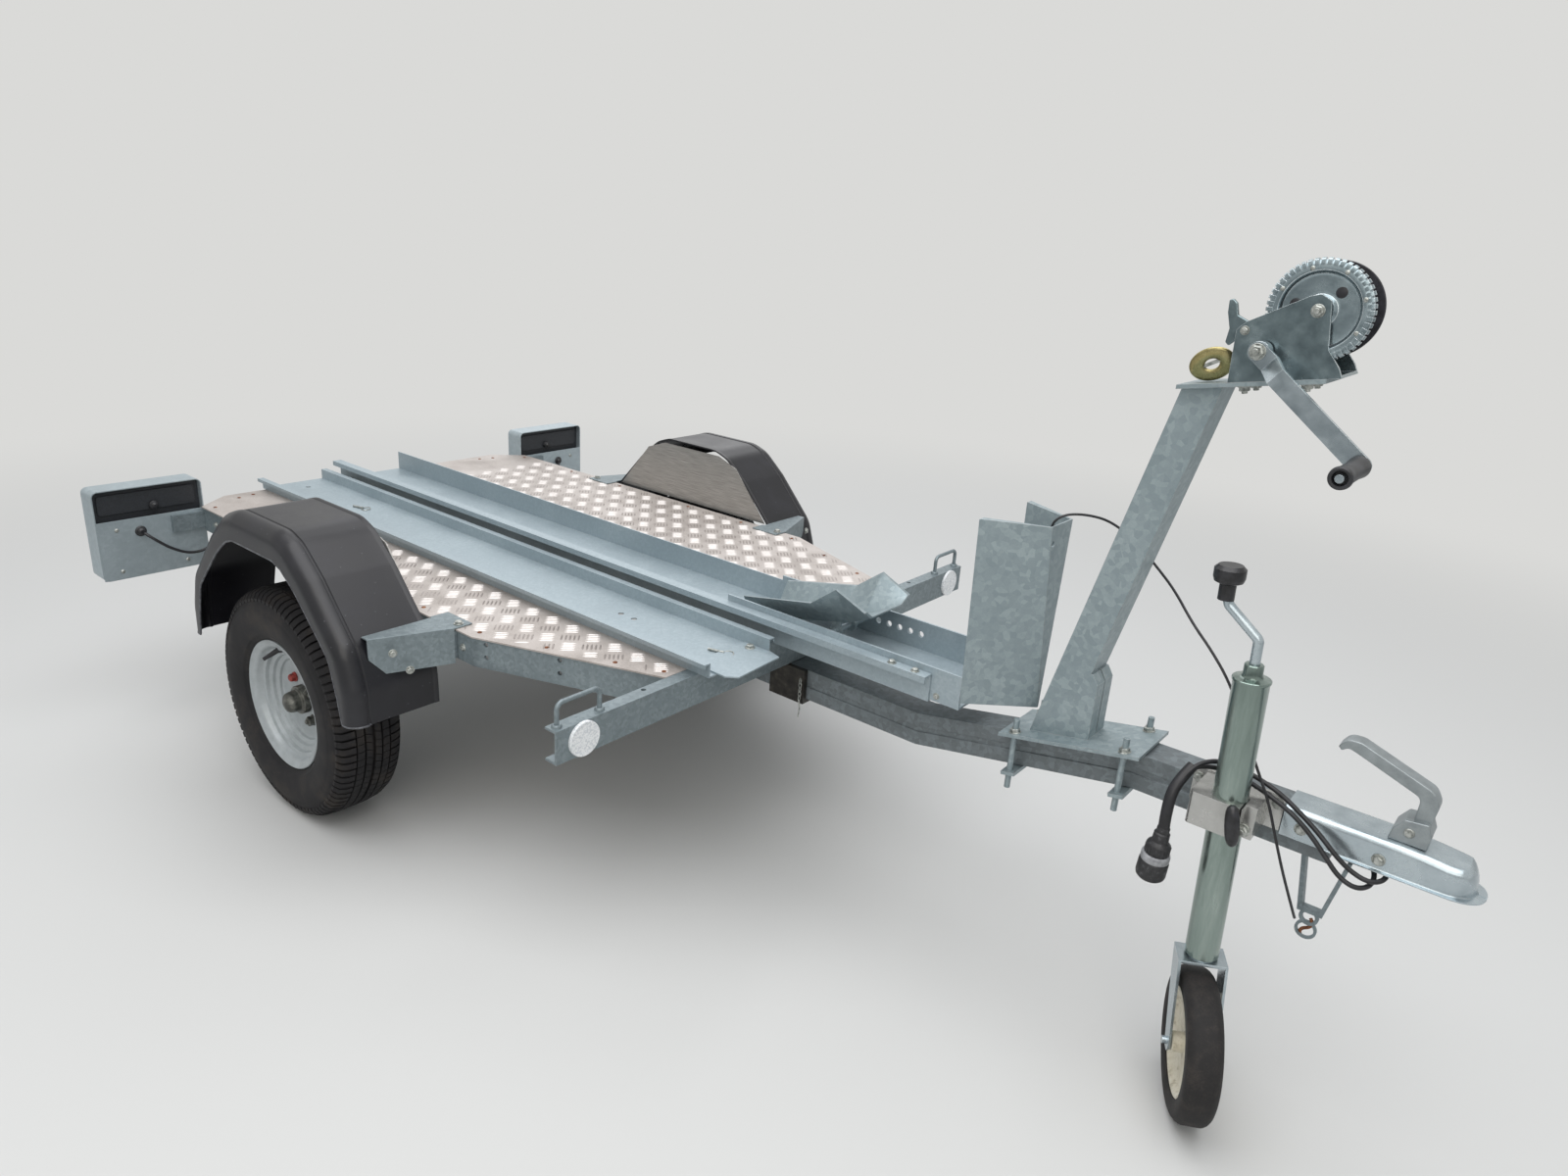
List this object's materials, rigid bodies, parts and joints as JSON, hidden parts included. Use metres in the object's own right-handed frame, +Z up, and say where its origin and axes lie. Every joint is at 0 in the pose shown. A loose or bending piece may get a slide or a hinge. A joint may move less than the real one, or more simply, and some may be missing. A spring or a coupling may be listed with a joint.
{
  "type": "motorcycle trailer",
  "caption": "Single-axle motorcycle trailer with a tread-plate deck, wheel rail, stowed ramp, angular mudguards, winch post and jockey wheel.",
  "frame": {"origin": "on the ground under the middle of the whole outline, the trailer standing level on its wheels", "axes": "+X forward to the coupling, +Y to the left, +Z up"},
  "size_m": [2.718, 1.42, 1.2381],
  "materials": {
    "tread_plate": "rolled bar pattern, dull",
    "galvanised_steel": "hot-dip galvanised, dull",
    "greasy_casting": "greasy, dark",
    "dark_hub": "rough",
    "wheel_silver": "satin silver",
    "road_tyre": "dull, dusty",
    "black_moulding": "fine grain",
    "brushed_panel": "brushed",
    "lamp_body": "smooth",
    "zinc_plate": "bright zinc",
    "pale_zinc": "pale zinc, satin",
    "cast_grey": "sand cast, zinc dipped",
    "green_zinc": "greenish zinc",
    "black_grip": "fine grain",
    "webbing": "woven",
    "white_rim": "satin",
    "solid_rubber": "dull",
    "white_reflector": "prismatic",
    "black_cable": "smooth",
    "plug_plastic": "worn"
  },
  "bodies": {
    "chassis": {"deck_sheet": "tread_plate", "chassis_frame": "galvanised_steel", "front_crossbeam": "galvanised_steel", "axle_beam": "galvanised_steel", "main_rail": "galvanised_steel", "front_channel": "galvanised_steel", "wheel_stop": "galvanised_steel", "loading_ramp": "galvanised_steel", "drawbar": "galvanised_steel", "drawbar_socket": "greasy_casting", "winch_post": "galvanised_steel", "winch_frame": "zinc_plate", "coupling_head": "pale_zinc", "coupling_handle": "cast_grey", "jockey_clamp": "zinc_plate", "trailer_cable": "black_cable", "trailer_cable_second": "black_cable", "cable_plug": "plug_plastic", "breakaway_cable": "black_cable", "cable_hanger": "zinc_plate", "left_mudguard": "black_moulding", "left_guard_panel": "brushed_panel", "left_lamp_box": "galvanised_steel", "left_front_bracket": "galvanised_steel", "left_rear_bracket": "galvanised_steel", "left_tail_lamp": "lamp_body", "left_reflector": "white_reflector", "left_lamp_cable": "black_cable", "right_mudguard": "black_moulding", "right_guard_panel": "brushed_panel", "right_lamp_box": "galvanised_steel", "right_front_bracket": "galvanised_steel", "right_rear_bracket": "galvanised_steel", "right_tail_lamp": "lamp_body", "right_reflector": "white_reflector", "right_lamp_cable": "black_cable"},
    "right_wheel": {"right_hub": "dark_hub", "right_rim": "wheel_silver", "right_tyre": "road_tyre"},
    "left_wheel": {"left_hub": "dark_hub", "left_rim": "wheel_silver", "left_tyre": "road_tyre"},
    "cradle": {"wheel_cradle": "galvanised_steel"},
    "jockey_column": {"jockey_tube": "green_zinc", "jockey_crank": "pale_zinc"},
    "jockey_leg": {"jockey_fork": "green_zinc"},
    "jockey_wheel": {"jockey_rim": "white_rim", "jockey_tyre": "solid_rubber"},
    "drum": {"winch_drum": "zinc_plate", "winch_strap": "webbing"},
    "crank": {"winch_crank": "zinc_plate", "crank_grip": "black_grip"}
  },
  "joints": [
    {"name": "right_wheel_spin", "type": "hinge", "parent": "chassis", "child": "right_wheel", "pos_m": [-0.615, -0.58, 0.243], "axis": [0, 1, 0], "continuous": true},
    {"name": "left_wheel_spin", "type": "hinge", "parent": "chassis", "child": "left_wheel", "pos_m": [-0.615, 0.58, 0.243], "axis": [0, 1, 0], "continuous": true},
    {"name": "cradle_rock", "type": "hinge", "parent": "chassis", "child": "cradle", "pos_m": [0.302, 0, 0.52], "axis": [0, 1, 0], "range_deg": [0, 30]},
    {"name": "jockey_clamp_slide", "type": "slide", "parent": "chassis", "child": "jockey_column", "axis": [-0.0436, 0, 0.999], "range_m": [-0.16, 0.16]},
    {"name": "jockey_leg_slide", "type": "slide", "parent": "jockey_column", "child": "jockey_leg", "axis": [0.0436, 0, -0.999], "range_m": [0, 0.2]},
    {"name": "jockey_wheel_spin", "type": "hinge", "parent": "jockey_leg", "child": "jockey_wheel", "pos_m": [1.07664, -0.11529, 0.113], "axis": [0.8902, 0.454, 0.0389], "continuous": true},
    {"name": "drum_spin", "type": "hinge", "parent": "chassis", "child": "drum", "pos_m": [1.004, 0, 1.1735], "axis": [0, 1, 0], "continuous": true},
    {"name": "crank_spin", "type": "hinge", "parent": "chassis", "child": "crank", "pos_m": [0.95016, 0, 1.11775], "axis": [0, 1, 0], "continuous": true}
  ],
  "couplings": [
    {"joint": "crank_spin", "follows": "drum_spin", "ratio": -4}
  ]
}
